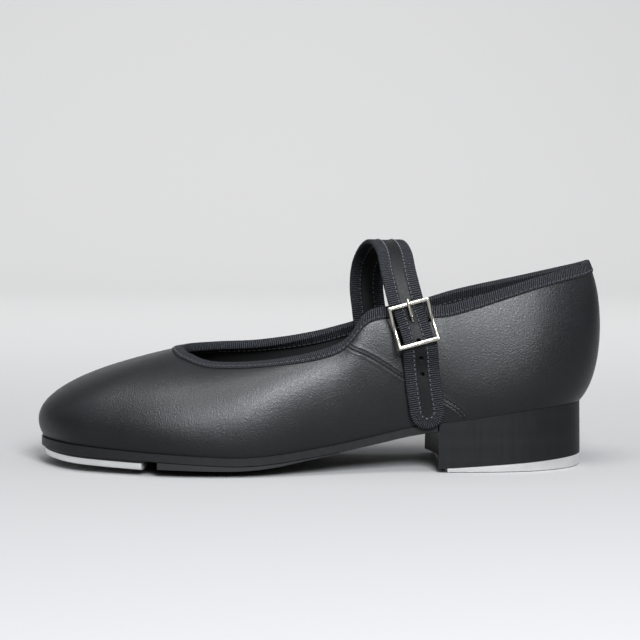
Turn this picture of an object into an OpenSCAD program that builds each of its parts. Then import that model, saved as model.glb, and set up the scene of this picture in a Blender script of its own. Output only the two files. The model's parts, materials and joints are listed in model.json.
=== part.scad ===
/* [Shoe] */
// Overall length from the toe to the back; the whole shoe is graded to it
shoe_l = 250; // [225:5:275]
// Thickness of the leather of the upper
leather_t = 1.2; // [1:0.1:1.3]
// Thickness of the toe puff, heel counter and interlining
stiffener_t = 0.8; // [0.6:0.1:0.8]
// Thickness of the textile lining
lining_t = 0.8; // [0.6:0.1:0.8]
// Width of the grosgrain tape that shows outside the topline
binding_w = 5; // [4:0.5:6]

/* [Sole] */
// Thickness of the outsole
outsole_t = 3.6; // [3:0.1:4]
// Thickness of the board between the outsole and the toe tap
tap_board_t = 1.2; // [1:0.1:1.5]
// Thickness of the toe tap
toe_tap_t = 2.9; // [2.5:0.1:3.2]
// Height of the heel tap at its back edge
heel_tap_back_h = 5.6; // [4.5:0.1:6]
// Height of the heel tap at its front edge
heel_tap_front_h = 1.9; // [1.6:0.1:2.4]
// Diameter of the tap screws' heads
screw_head_d = 6; // [5:0.5:7]

/* [Strap and buckle] */
// Width of the strap over its bindings
strap_w = 15.4; // [14.6:0.2:15.8]
// Width of the grosgrain tape along each edge of the strap
strap_binding_w = 5.5; // [5:0.1:5.8]
// Width of the buckle's frame, along its bars
buckle_w = 18.6; // [18:0.1:19.2]
// Height of the buckle's frame, along the strap
buckle_h = 19.2; // [18.5:0.1:20]
// Diameter of the buckle's centre bar
bar_d = 1.6; // [1.4:0.1:1.7]

/* [Hidden] */

// Everything below is drawn at the base length and graded to shoe_l at the end.
// X runs from the toe to the back, -Y is the outer (lateral) side, Z is up.
base_l = 250;
grade = shoe_l / base_l;
gap = 0.05;

// ---- The last: stations from the back seam (0) to the toe tip (11) ----
// The feather line, where the upper meets the sole: x, z, lateral y, medial y
FEATHER = [
    [116.2, 28.6, 0, 0], [110.5, 28.6, -14.5, 14.5], [92, 27.3, -25.2, 25],
    [64, 23.4, -28.8, 27], [40, 20.2, -28.4, 24], [20, 16, -30.6, 23.4],
    [-2, 12, -35, 27], [-32, 8.5, -41.2, 36.4], [-62, 9.5, -41, 38.4],
    [-90, 10.9, -34.2, 35], [-111.5, 12, -22.6, 24.2], [-122.4, 12, 1, 1]];
// The topline on the lateral side: x, y, z
TOP_LATERAL = [
    [119, 0, 91], [114, -8.5, 89.2], [94, -17.5, 84.5],
    [58, -23.6, 73.8], [44.8, -25.2, 72], [20.2, -26.6, 70.8],
    [7, -27.4, 56.6], [-19, -25.9, 49.2], [-46, -19.3, 46.8],
    [-57.8, -10.8, 49.4], [-60.8, -4, 50.9], [-61.1, 0.8, 51.3]];
// The topline on the medial side, for the stations from 1 to 10
TOP_MEDIAL = [
    [113.6, 8.8, 88.6], [92, 18.4, 82.6], [62, 22.6, 75.4],
    [38, 25, 67.4], [17, 26.4, 60.6], [-3, 26.6, 55.3],
    [-26, 25, 51.9], [-44, 21, 51.4], [-56.5, 12, 51.5],
    [-60.4, 5.6, 51.5]];
// How the wall leaves the feather line (out, up) and reaches the topline (out, down)
HANDLES = [
    [10, 9, 9.5, 19], [8, 10, 8.5, 19], [4.5, 12, 7.5, 19],
    [3, 13, 6, 18], [2.6, 13, 6, 17], [2.6, 12, 6.5, 14],
    [3, 12, 8.5, 10], [3.6, 13, 13, 5], [4.5, 15, 16, 5],
    [6, 17, 26, 8], [9, 17, 40, 9.5], [10.5, 17.5, 45, 10]];
TOE = len(FEATHER) - 1;
ROUND = 2 * TOE;    // stations in the whole loop: back, lateral, toe, medial

// One station of the loop: feather point, topline point and handles in one row
function station(i) =
    let (n = (i % ROUND + ROUND) % ROUND, lateral = n <= TOE,
         k = lateral ? n : ROUND - n, f = FEATHER[k],
         t = lateral ? TOP_LATERAL[k] : TOP_MEDIAL[k - 1])
    concat([f[0], lateral ? f[2] : f[3], f[1]], t, HANDLES[k]);

function catmull(a, b, c, d, t) =
    0.5 * (2 * b + (c - a) * t + (2 * a - 5 * b + 4 * c - d) * t * t
    + (3 * b - a - 3 * c + d) * t * t * t);

// The same row at any place u round the loop
function row(u) =
    let (i = floor(u))
    catmull(station(i - 1), station(i), station(i + 1), station(i + 2), u - i);

function unit(v) = v / norm(v);
function flat(v) = [v[0], v[1], 0];
function feather(u) = let (r = row(u)) [r[0], r[1], r[2]];

// Outward direction of the feather line, seen from above
function outward(u) =
    let (d = feather(u + 0.05) - feather(u - 0.05))
    unit([-d[1], d[0], 0]);

// The four control points of the wall's profile at u
function profile(u) =
    let (r = row(u), f = [r[0], r[1], r[2]], t = [r[3], r[4], r[5]],
         side = unit(flat(f - t) + 10 * outward(u)))
    [f, f + side * r[6] + [0, 0, r[7]], t + side * r[8] - [0, 0, r[9]], t];

function bezier(p, v) =
    p[0] * pow(1 - v, 3) + p[1] * 3 * v * pow(1 - v, 2)
    + p[2] * 3 * v * v * (1 - v) + p[3] * pow(v, 3);
function bezier_slope(p, v) =
    (p[1] - p[0]) * pow(1 - v, 2) + (p[2] - p[1]) * 2 * v * (1 - v)
    + (p[3] - p[2]) * v * v;

// A point of the upper at (u, v), moved by t along the outward normal
function wall(u, v, t = 0) =
    let (p = profile(u), along = bezier(profile(u + 0.05), v) - bezier(profile(u - 0.05), v))
    bezier(p, v) + t * unit(cross(bezier_slope(p, v), along));

// ---- Solids from rings of points ----
// Each ring lists one side of the section and then the other side backwards, clockwise
// when seen along the direction from ring to ring. A closed skin has no end caps.
module skin(rings, closed = false) {
    k = len(rings[0]);
    n = len(rings);
    last = closed ? n - 1 : n - 2;
    sides = [for (i = [0 : last], j = [0 : k - 1])
        let (a = i * k, b = ((i + 1) % n) * k, m = (j + 1) % k)
        each [[a + j, b + j, b + m], [a + j, b + m, a + m]]];
    caps = closed ? [] : [for (j = [0 : k / 2 - 2])
        let (q = [j, j + 1, k - 2 - j, k - 1 - j], z = (n - 1) * k)
        each [[q[0], q[1], q[2]], [q[0], q[2], q[3]],
            [z + q[2], z + q[1], z + q[0]], [z + q[3], z + q[2], z + q[0]]]];
    polyhedron([for (r = rings) each r], concat(sides, caps), convexity = 8);
}
function backwards(l) = [for (i = [len(l) - 1 : -1 : 0]) l[i]];

// Everything is drawn about the middle of the heel and moved so that the origin is the
// middle of the whole shoe, seen from above
MIDDLE = [-0.14, 1.68, 0];
module placed() scale(grade) translate(MIDDLE) children();

// ---- Upper: walls between the feather line and the topline ----
SEAM_FOOT = 3.13;       // station of the side seam at the feather line
SEAM_TOP = 5.85;        // and at the topline
INNER_V = 0.05;         // inner layers start this far up the wall
MARGIN = 11;            // width of leather lasted under the insole board

// Runs from 0 to 1, level at both ends
function smooth(f) = let (t = max(0, min(1, f))) t * t * (3 - 2 * t);
// Station of the lateral side seam at the height v
function seam(v) = SEAM_FOOT + (SEAM_TOP - SEAM_FOOT) * smooth(v);
// Place f of the way from one edge to the other; edges are stations or "lateral"/"medial"
function edge(e, v) = e == "lateral" ? seam(v) : e == "medial" ? ROUND - seam(v) : e;
function between(a, b, f, v) = edge(a, v) * (1 - f) + edge(b, v) * f;
function span(v0, v1, n) = [for (j = [0 : n]) v0 + (v1 - v0) * j / n];

// A layer of the wall from edge a to edge b, between the depths t0 and t1
module layer(a, b, v0, v1, t0, t1, nu, nv)
    skin([for (i = [0 : nu]) let (f = i / nu) concat(
        [for (v = span(v0, v1, nv)) wall(between(a, b, f, v), v, -t0)],
        [for (v = span(v1, v0, nv)) wall(between(a, b, f, v), v, -t1)])]);

// The leather, with its margin turned in at the feather line
module leather(a, b, nu, nv) {
    skin([for (i = [0 : nu]) let (
            f = i / nu, u0 = between(a, b, f, 0), foot = feather(u0),
            turned = foot - outward(u0) * MARGIN, lift = [0, 0, leather_t])
        concat([turned],
        [for (v = span(0, 1, nv)) wall(between(a, b, f, v), v)],
        [for (v = span(1, 1 / nv, nv - 1)) wall(between(a, b, f, v), v, -leather_t)],
        [wall(u0, 0, -leather_t) + lift, turned + lift])]);
}

STIFF_0 = leather_t + gap;
STIFF_1 = STIFF_0 + stiffener_t;
LINING_0 = STIFF_1 + gap;
LINING_1 = LINING_0 + lining_t;
VAMP_STEPS = 52;
QUARTER_STEPS = 20;
HEEL_STEPS = 44;
PUFF = [8.7, 13.3];         // stations that the toe puff covers
PUFF_TOP = 0.62;
COUNTER = [-2.6, 2.6];      // stations that the heel counter covers
COUNTER_TOP = 0.66;

module vamp() color("#1d1f22") placed()
    leather("lateral", "medial", VAMP_STEPS, 6);
module quarter_lateral() color("#202226") placed()
    leather(0, "lateral", QUARTER_STEPS, 6);
module quarter_medial() color("#202226") placed()
    leather("medial", ROUND, QUARTER_STEPS, 6);
module toe_puff() color("#b9a888") placed()
    layer(PUFF[0], PUFF[1], INNER_V, PUFF_TOP, STIFF_0, STIFF_1, 26, 4);
module heel_counter() color("#b08d63") placed()
    layer(COUNTER[0], COUNTER[1], INNER_V, COUNTER_TOP, STIFF_0, STIFF_1, 26, 4);
module vamp_interlining() color("#d8d6cf") placed() {
    layer("lateral", PUFF[0] - 0.05, INNER_V, 0.97, STIFF_0, STIFF_1, 16, 4);
    layer(PUFF[1] + 0.05, "medial", INNER_V, 0.97, STIFF_0, STIFF_1, 16, 4);
    layer(PUFF[0], PUFF[1], PUFF_TOP + 0.02, 0.97, STIFF_0, STIFF_1, 24, 2);
}
module quarter_interlining() color("#d8d6cf") placed() {
    layer(COUNTER[1] + 0.05, "lateral", INNER_V, 0.97, STIFF_0, STIFF_1, 8, 4);
    layer("medial", ROUND - COUNTER[1] - 0.05, INNER_V, 0.97, STIFF_0, STIFF_1, 8, 4);
    layer(COUNTER[0], COUNTER[1], COUNTER_TOP + 0.02, 0.97, STIFF_0, STIFF_1, 24, 2);
}
module vamp_lining() color("#17181a") placed()
    layer("lateral", "medial", INNER_V, 1, LINING_0, LINING_1, VAMP_STEPS, 4);
module quarter_lining() color("#17181a") placed()
    skin([for (i = [0 : HEEL_STEPS]) let (f = i / HEEL_STEPS) concat(
        [for (v = span(INNER_V, 1, 4)) wall(round_heel(f, v), v, -LINING_0)],
        [for (v = span(1, INNER_V, 4)) wall(round_heel(f, v), v, -LINING_1)])]);
// From the medial seam round the back to the lateral seam
function round_heel(f, v) = -seam(v) + 2 * seam(v) * f;

// ---- Topline binding: a tape folded over the top edge all the way round ----
TAPE_T = 0.45;
BINDING_STEPS = 96;
// Fraction of the wall that a tape of the given width covers below the topline
function lip(u, width) = let (r = row(u)) width / (3 * norm([r[8], r[9]]));
function topline_up(u) = let (p = profile(u)) unit(p[3] - p[2]);
function binding_ring(u) = let (
        d = lip(u, binding_w), o = gap + TAPE_T, in = LINING_1 + gap,
        rise = topline_up(u))
    concat(
        [wall(u, 1 - d, o), wall(u, 1 - d / 2, o), wall(u, 1, o) + rise * o,
         wall(u, 1, -in - TAPE_T) + rise * o, wall(u, 1 - d / 2, -in - TAPE_T),
         wall(u, 1 - d, -in - TAPE_T)],
        [wall(u, 1 - d, -in), wall(u, 1 - d / 2, -in), wall(u, 1, -in) + rise * gap,
         wall(u, 1, gap) + rise * gap, wall(u, 1 - d / 2, gap), wall(u, 1 - d, gap)]);
module topline_binding() color("#16171b") placed()
    skin([for (i = [0 : BINDING_STEPS - 1]) binding_ring(ROUND * i / BINDING_STEPS)],
        closed = true);

// ---- Bottom: slabs that follow the feather line ----
// A point on the outline at station u, inset towards the middle, at a height above the
// feather line
function rim(u, inset, h) = feather(u) - outward(u) * inset + [0, 0, h];
// Stations from the toe end to the heel end of a slab, closer together at both ends
function slab_stations(toe_u, heel_u, n) =
    [for (i = [0 : n]) toe_u + (heel_u - toe_u) * (1 - cos(180 * i / n)) / 2];
// A slab between two heights above the feather line
module slab(toe_u, heel_u, inset, h0, h1, n)
    skin([for (u = slab_stations(toe_u, heel_u, n)) let (m = ROUND - u)
        [rim(m, inset, h1), rim(u, inset, h1), rim(u, inset, h0), rim(m, inset, h0)]]);

BOARD_0 = leather_t + gap;          // underside of the insole board
BOARD_1 = BOARD_0 + 2;
SOCK_1 = BOARD_1 + gap + 1.6;
BOARD_INSET = 3.1;
BREAST_U = 3.47;                    // station of the heel's front face
ENDS = 0.06;                        // slabs stop this far from the exact ends

module insole_board() color("#a98f66") placed() difference() {
    slab(TOE - ENDS, ENDS, BOARD_INSET, BOARD_0, BOARD_1, 30);
    nail_holes();
}
module sock_liner() color("#191a1c") placed()
    slab(TOE - ENDS, ENDS, BOARD_INSET, BOARD_1 + gap, SOCK_1, 30);
module bottom_filler() color("#b4884f") placed()
    slab(9.8, 6.2, MARGIN + 1.2, gap, BOARD_0 - 0.5, 20);

// The sprung steel strip under the arch, between the board and the sole
SHANK_W = 11;
module shank() color("#8d9299") placed()
    skin([for (u = span(6, 1.95, 12)) let (
            c = (feather(u) + feather(ROUND - u)) / 2, h = [0, SHANK_W / 2, 0],
            low = [0, 0, gap], high = [0, 0, BOARD_0 - gap])
        [c + h + high, c - h + high, c - h + low, c + h + low]]);

// ---- Outsole, forepart patch and tap board ----
SOLE_OUT = 0.9;         // how far the outsole stands out past the upper
SOLE_ROUND = 0.3;       // rounding of its lower edge
TAP_REAR_X = -73;       // rear edge of the board over the toe tap
TAP_SHORT = 3;          // the tap stops this far in front of it
TAP_TILT = 1.65;        // toe spring of the tap
SEAT_Z = 6.65;          // underside of the outsole at the board's rear edge
BREAST_X = 49.6;        // front corners of the heel
BREAST_HOLLOW = 4.5;    // depth of the hollow in its front face
BREAST_HALF = 28.5;
BREAST_R = (pow(BREAST_HALF, 2) + pow(BREAST_HOLLOW, 2)) / (2 * BREAST_HOLLOW);

// Everything in front of the heel's hollow front face
module before_breast()
    translate([BREAST_X + BREAST_HOLLOW - BREAST_R, 0, -20])
    cylinder(h = 80, r = BREAST_R, $fn = 180);

// Underside of the outsole: a flat seat for the tap, then the sole's own curve
function under(p) =
    p[0] < TAP_REAR_X ? SEAT_Z + (TAP_REAR_X - p[0]) * tan(TAP_TILT) : p[2] - outsole_t;
function at_z(p, z) = [p[0], p[1], z];
function outsole_ring(u) = let (
        m = ROUND - u, om = rim(m, -SOLE_OUT, 0), ol = rim(u, -SOLE_OUT, 0),
        z = under(ol), lm = rim(m, SOLE_ROUND - SOLE_OUT, 0),
        ll = rim(u, SOLE_ROUND - SOLE_OUT, 0))
    [om, ol, at_z(ol, z + SOLE_ROUND), at_z(ll, z), at_z(lm, z), at_z(om, z + SOLE_ROUND)];
module outsole() color("#26272a") placed() difference() {
    intersection() {
        skin([for (u = slab_stations(TOE - ENDS, 3.3, 44)) outsole_ring(u)]);
        before_breast();
    }
    toe_screw_places() cylinder(h = 20, r = SCREW_R + HOLE_PLAY, center = true, $fn = 24);
}

// Ribbed rubber half sole: x against its thickness at the edge, and its crown
PATCH_EDGE = [[-74, 3.9], [-58, 3.4], [-42, 2.8], [-19, 2.2], [7, 0.4]];
PATCH_CROWN = [[-74, 1.3], [-58, 1.9], [-42, 2.0], [-19, 1.6], [7, 0.5]];
PATCH_U = [8.33, 5.65];
CROWN_STEPS = 8;
PATCH_BEVEL = 0.9;
PATCH_OUT = 0.85;           // how far it stands out past the upper
function patch_ring(u) = let (
        m = rim(ROUND - u, -PATCH_OUT, 0), l = rim(u, -PATCH_OUT, 0), x = l[0],
        top = l[2] - outsole_t - gap, h = lookup(x, PATCH_EDGE), c = lookup(x, PATCH_CROWN))
    concat([for (j = [0 : CROWN_STEPS]) at_z(m + (l - m) * j / CROWN_STEPS, top)],
        [for (j = [CROWN_STEPS : -1 : 0]) let (
            f = abs(2 * j / CROWN_STEPS - 1), e = f == 1 ? min(PATCH_BEVEL, h / 2) : 0)
            at_z(m + (l - m) * j / CROWN_STEPS, top - h - c * (1 - f * f) + e)]);
module forepart_patch() color("#1b1b1c") placed()
    skin([for (u = span(PATCH_U[0], PATCH_U[1], 20)) patch_ring(u)]);

// ---- Toe tap: a plate with rounded rear corners and a rounded lower edge ----
function quad(a, b, c, n) =
    [for (j = [1 : n]) let (t = j / n) a * pow(1 - t, 2) + b * 2 * t * (1 - t) + c * t * t];
TAP_SIDE_U = 8.62;      // where the side of the tap turns into the rear corner
TAP_REAR_Y = 25;        // where the corner turns into the rear edge
TAP_CORNER_U = 8.42;    // station at the corner itself
TAP_REAR_BOW = 2.4;     // how far the rear edge is drawn back towards its middle
TAP_INSET = 0.7;
TAP_STEPS = 34;
CORNER_STEPS = 6;
// The outline of the tap or its board, with its rear edge at x
function tap_outline(inset, x) = let (
        side = span(TAP_SIDE_U, ROUND - TAP_SIDE_U, TAP_STEPS),
        l = [for (u = side) flat(rim(u, inset, 0))],
        cl = rim(TAP_CORNER_U, inset, 0)[1], cm = rim(ROUND - TAP_CORNER_U, inset, 0)[1],
        rl = [x, -TAP_REAR_Y, 0], rm = [x, TAP_REAR_Y, 0])
    concat(l, quad(l[len(l) - 1], [x, cm, 0], rm, CORNER_STEPS),
        quad(rm, [x + TAP_REAR_BOW, 0, 0], rl, CORNER_STEPS),
        [for (p = quad(rl, [x, cl, 0], l[0], CORNER_STEPS)) if (p != l[0]) p]);
// A closed solid from outlines one above the other, clockwise when seen from above
module stack(rings) {
    k = len(rings[0]);
    n = len(rings);
    polyhedron([for (r = rings) each r], concat(
        [backwards([for (j = [0 : k - 1]) j]), [for (j = [0 : k - 1]) (n - 1) * k + j]],
        [for (i = [0 : n - 2], j = [0 : k - 1]) let (a = i * k, b = a + k, m = (j + 1) % k)
            each [[a + j, a + m, b + m], [a + j, b + m, b + j]]]), convexity = 4);
}
function raised(ring, z) = [for (p = ring) p + [0, 0, z]];
// Puts a flat plate under the outsole's seat, its top z below the seat
module on_seat(z) translate([TAP_REAR_X, 0, SEAT_Z - z]) rotate([0, TAP_TILT, 0])
    translate([-TAP_REAR_X, 0, 0]) children();
module toe_screw_places() on_seat(tap_board_t + toe_tap_t + 2 * gap)
    for (p = TOE_SCREWS) translate(p) children();

TOE_SCREWS = [[-116, 0.8, 0], [-88.5, -22.5, 0], [-88.5, 23, 0]];
SCREW_R = 1.5;
HEAD_H = 1.8;
HOLE_PLAY = 0.03;       // room round a screw in the sole and the heel
TAP_PLAY = 0.1;         // and in the taps
TAP_ROUND = 0.9;        // rounding of the taps' lower edges
MID_AWAY = 0.25;        // the middle of that rounding: from the edge
MID_UP = 0.35;          // and from the underside
module tap_board() color("#141415") placed() difference() {
    on_seat(tap_board_t + gap)
        stack([for (z = [0, tap_board_t])
            raised(tap_outline(TAP_INSET, TAP_REAR_X - TAP_INSET), z)]);
    toe_screw_places() cylinder(h = 20, r = SCREW_R + HOLE_PLAY, center = true, $fn = 24);
}
// A ring of the toe tap: how far its edge is rounded away there, and its height
function toe_tap_ring(away, z) =
    raised(tap_outline(TAP_INSET + away, TAP_REAR_X - TAP_SHORT - away), z);
module toe_tap() color("#c9cbcc") placed() difference() {
    on_seat(tap_board_t + toe_tap_t + 2 * gap) stack([
        toe_tap_ring(TAP_ROUND, 0), toe_tap_ring(MID_AWAY, MID_UP),
        toe_tap_ring(0, TAP_ROUND), toe_tap_ring(0, toe_tap_t)]);
    toe_screw_places() countersink();
}

// ---- Tap screws: countersunk, with a cross recess, pointing up into the sole ----
module countersink() {
    translate([0, 0, -1]) cylinder(h = 20, r = SCREW_R + TAP_PLAY, $fn = 24);
    translate([0, 0, -0.01]) cylinder(h = HEAD_H + 0.2, r1 = screw_head_d / 2 + TAP_PLAY,
        r2 = SCREW_R + TAP_PLAY, $fn = 32);
}
module tap_screw(length) translate([0, 0, 0.2]) difference() {
    union() {
        cylinder(h = HEAD_H, r1 = screw_head_d / 2 - 0.05, r2 = SCREW_R, $fn = 32);
        cylinder(h = length - 2, r = SCREW_R, $fn = 24);
        translate([0, 0, length - 2]) cylinder(h = 2, r1 = SCREW_R, r2 = 0.3, $fn = 24);
    }
    for (a = [0, 90]) rotate(a) cube([3.4, 0.8, 2.2], center = true);
}
module toe_tap_screws() color("#b8b9ba") placed()
    toe_screw_places() tap_screw(7.6);

// ---- Heel: block, tap, screws and nails ----
HEEL_U = 3.56;              // first station of the heel, in front of its front corners
TAP_FRONT_X = 52.4;         // front edge of the heel tap
HEEL_BACK_X = 117;
HEEL_OUT = 0.2;             // how far the block stands out past the upper
TAP_SLOPE = (heel_tap_back_h - heel_tap_front_h) / (HEEL_BACK_X - TAP_FRONT_X);
function heel_tap_top(x) = heel_tap_front_h + (x - TAP_FRONT_X) * TAP_SLOPE;
function heel_low(u, out) = let (p = rim(u, -out, 0)) at_z(p, heel_tap_top(p[0]) + gap);
module heel_block() color("#2a2b2e") placed() difference() {
    skin([for (u = slab_stations(HEEL_U, ENDS, 30))
        [rim(-u, -HEEL_OUT, -gap), rim(u, -HEEL_OUT, -gap),
         heel_low(u, HEEL_OUT + 0.6), heel_low(-u, HEEL_OUT + 0.6)]]);
    before_breast();
    nail_holes();
    heel_screw_places() cylinder(h = 16, r = SCREW_R + HOLE_PLAY, $fn = 24);
}
HEEL_TAP_OUT = 0.2;         // and the tap past the block
HEEL_SCREWS = [[61, -17, 0], [61, 17, 0], [103, 0, 0]];
module heel_screw_places() for (p = HEEL_SCREWS) translate(p) children();
// The tap's outline, from its medial front corner round the back
function heel_tap_outline(inset) = let (side = span(-3.4, 3.4, 40))
    [for (u = side) let (p = flat(rim(u, inset - HEEL_OUT - HEEL_TAP_OUT, 0)))
        [max(p[0], TAP_FRONT_X + inset), p[1], 0]];
module heel_tap() color("#cfcfca") placed() difference() {
    stack([heel_tap_outline(TAP_ROUND), raised(heel_tap_outline(MID_AWAY), MID_UP),
        raised(heel_tap_outline(0), TAP_ROUND),
        [for (p = heel_tap_outline(0)) at_z(p, heel_tap_top(p[0]))]]);
    heel_screw_places() countersink();
}
module heel_tap_screws() color("#b8b9ba") placed()
    heel_screw_places() tap_screw(13);

// Nails through the insole board into the block: x, y
HEEL_NAILS = [[66, -12], [66, 12], [86, -13], [86, 13], [100, 0]];
NAIL_SLOPE = (28.6 - 23.4) / (110.5 - 64);
function nail_top(x) = 23.4 + (x - 64) * NAIL_SLOPE + BOARD_1 - 0.4;
module nail_places() for (p = HEEL_NAILS) translate([p[0], p[1], nail_top(p[0])]) children();
module nail_holes() nail_places() {
    translate([0, 0, -18]) cylinder(h = 24, r = 1.12, $fn = 24);
    translate([0, 0, -0.85]) cylinder(h = 5, r = 2.3, $fn = 24);
}
module heel_nails() color("#9b9ea3") placed() nail_places() {
    translate([0, 0, -17]) cylinder(h = 16.5, r = 1.1, $fn = 24);
    translate([0, 0, -0.8]) cylinder(h = 0.8, r = 2.2, $fn = 24);
}

// ---- Buckle: drawn upright about its centre bar, outer side towards -Y ----
BUCKLE = [37.8, -30.2, 64.9];       // middle of the centre bar
LEAN = -10;                         // top leaning in over the foot
TURN = -15.5;                       // foot of the buckle turned towards the heel
BAR_S = [cos(TURN), 0, -sin(TURN)];
BAR_UP = [cos(LEAN) * sin(TURN), -sin(LEAN), cos(LEAN) * cos(TURN)];
BAR_OUT = [-sin(LEAN) * sin(TURN), -cos(LEAN), -sin(LEAN) * cos(TURN)];
// A point by its place along the bar, outward and up the strap
function by_buckle(s, out, up) = BUCKLE + BAR_S * s + BAR_OUT * out + BAR_UP * up;
module at_buckle() translate(BUCKLE) rotate([LEAN, TURN, 0]) children();

TAB_T = 0.7;                        // thickness of the chape
RUN = 0.07;                         // running clearance round the centre bar
LOOP_R = bar_d / 2 + RUN + TAB_T;
STRAP_T = 1.86;
STRAP_OVER = 0.28;                  // room between the chape and the strap
STRAP_OUT = LOOP_R + STRAP_OVER + STRAP_T / 2;      // middle of the strap over the bar
WIRE_R = 0.85;
FOOT_WIRE_R = 1;
END_OUT = STRAP_OUT + STRAP_T / 2 + 1 + WIRE_R;     // middle of the end bars
END_UP = buckle_h / 2 - WIRE_R;
RAIL_S = buckle_w / 2 - WIRE_R;
RAIL_DIP = 3;                       // how far out the side rails are at the centre bar
RAIL_R = (pow(END_UP, 2) + pow(END_OUT - RAIL_DIP, 2)) / (2 * (END_OUT - RAIL_DIP));
RAIL_ANGLE = asin(END_UP / RAIL_R);

// A round rod between two points
module rod(a, b, r) {
    d = b - a;
    translate(a) rotate([0, acos(d[2] / norm(d)), atan2(d[1], d[0])])
        cylinder(h = norm(d), r = r, $fn = 24);
}
// The same with ball ends, a little larger than the rod
BALL = 1.03;
module bar(a, b, r) {
    translate(a) sphere(r = r * BALL, $fn = 24);
    translate(b) sphere(r = r * BALL, $fn = 24);
    rod(a, b, r);
}
module buckle_frame() color("#d5d2c8") placed() at_buckle() {
    for (s = [-1, 1]) translate([s * RAIL_S, -RAIL_DIP - RAIL_R, 0])
        rotate([0, 90, 0]) rotate([0, 0, 90 - RAIL_ANGLE])
        rotate_extrude(angle = 2 * RAIL_ANGLE, $fn = 96) translate([RAIL_R, 0])
        circle(r = WIRE_R, $fn = 24);
    bar([-RAIL_S, -END_OUT, END_UP], [RAIL_S, -END_OUT, END_UP], WIRE_R);
    bar([-RAIL_S, -END_OUT, -END_UP], [RAIL_S, -END_OUT, -END_UP], FOOT_WIRE_R);
}
BAR_STRAIGHT = 6.9;                 // half length of the bar's straight middle
module buckle_bar() color("#d5d2c8") placed() at_buckle() {
    rotate([0, 90, 0]) cylinder(h = 2 * BAR_STRAIGHT, r = bar_d / 2, center = true, $fn = 32);
    for (s = [-1, 1])
        bar([s * BAR_STRAIGHT, 0, 0], [s * RAIL_S, -RAIL_DIP, 0], bar_d / 2);
}
PRONG_R = 0.72;
EYE_HALF = 1;
EYE_R = bar_d / 2 + RUN + 0.65;
PRONG_OUT = END_OUT + WIRE_R + PRONG_R + 0.12;
// Where the prong bends, outward and up: out of its eye, through the strap, along it,
// at the frame's end bar and at its tip
PRONG_PATH = [[0, -1.3, 0.3], [0, -STRAP_OUT - 1.2, 1.5], [0, 0.8 - PRONG_OUT, 3.6],
    [0, -PRONG_OUT, END_UP], [0, 0.7 - PRONG_OUT, END_UP + 1.5]];
module prong() color("#dcd9cf") placed() at_buckle() {
    difference() {
        union() {
            rotate([0, 90, 0]) cylinder(h = 2 * EYE_HALF, r = EYE_R, center = true, $fn = 32);
            bar(PRONG_PATH[0], PRONG_PATH[1], PRONG_R);
        }
        rotate([0, 90, 0]) cylinder(h = 6, r = bar_d / 2 + RUN, center = true, $fn = 32);
    }
    for (i = [1 : len(PRONG_PATH) - 2]) bar(PRONG_PATH[i], PRONG_PATH[i + 1], PRONG_R);
}

// ---- Strap: one path from inside the medial quarter, over the foot, to the tip ----
JOINT_DOWN = 10.9;                  // the free end starts this far below the bar
STRAP_ASIDE = 0.6;                  // the strap comes into the buckle this far to one side
STRAP_PATH = concat(
    [[24.8, 21.6, 50], [24.2, 21.8, 58.5], [23.2, 23.2, 67], [22.2, 24.6, 77],
     [22.9, 22.3, 87], [25.6, 13.5, 95.4], [28.4, 0, 98.8], [30.6, -14.5, 95.4],
     [31.8, -25.6, 86.4]],
    [by_buckle(-STRAP_ASIDE, STRAP_OUT, 10), by_buckle(0, STRAP_OUT, 0),
     by_buckle(0, STRAP_OUT, -10)],
    [[41.5, -31.9, 46.6], [42.7, -31.6, 37.6], [44.2, -31.2, 28.6], [45.6, -31, 19.6]]);
PATH_END = len(STRAP_PATH) - 1;
AT_BAR = 10;                        // the path's point over the centre bar
function path_point(i) = i < 0 ? 2 * STRAP_PATH[0] - STRAP_PATH[1]
    : i > PATH_END ? 2 * STRAP_PATH[PATH_END] - STRAP_PATH[PATH_END - 1] : STRAP_PATH[i];
function path(k) = let (i = min(floor(k), PATH_END - 1))
    catmull(path_point(i - 1), path_point(i), path_point(i + 1), path_point(i + 2), k - i);
PATH_FINE = 12;
STEPS = [for (j = [1 : PATH_END * PATH_FINE])
    norm(path(j / PATH_FINE) - path((j - 1) / PATH_FINE))];
function total(n, i = 0, sum = 0) = i >= n ? sum : total(n, i + 1, sum + STEPS[i]);
ARC = [for (j = [0 : PATH_END * PATH_FINE]) [total(j), j / PATH_FINE]];
TIP = ARC[len(ARC) - 1][0];
BAR_AT = total(AT_BAR * PATH_FINE);
JOINT_AT = BAR_AT + JOINT_DOWN;
// A point of the strap: a along the path, x across it (towards the heel), n outward
function on_strap(a, x, n) = let (
        k = lookup(a, ARC), t = unit(path(k + 0.02) - path(k - 0.02)),
        w = unit([1, 0, 0] - t * t[0]))
    path(k) + w * x + cross(t, w) * n;

// ---- Strap layers ----
STRAP_STEPS = 44;
TAIL_STEPS = 8;
TIP_STEPS = 8;
TIP_R = strap_w / 2;
FRAME_HALF = 6.5;                   // half width of the strap inside the frame
NARROW = 7;                         // length of that narrow part each side of the bar
WIDEN = 2.5;                        // length over which it widens again
TAPE = [0.67, STRAP_T / 2];         // depths of the folded tape, inside and outside
STRAP_SKIN = [0, 0.62];             // depths of the leather
STRAP_BACK = [-0.6, -gap];          // depths of the lining
CORE_IN = TAPE[1] - TAPE[0] + gap;  // the core stops this far inside the strap's edge
CUT = 0.05;                         // half of the gap at the tail's joint
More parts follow.
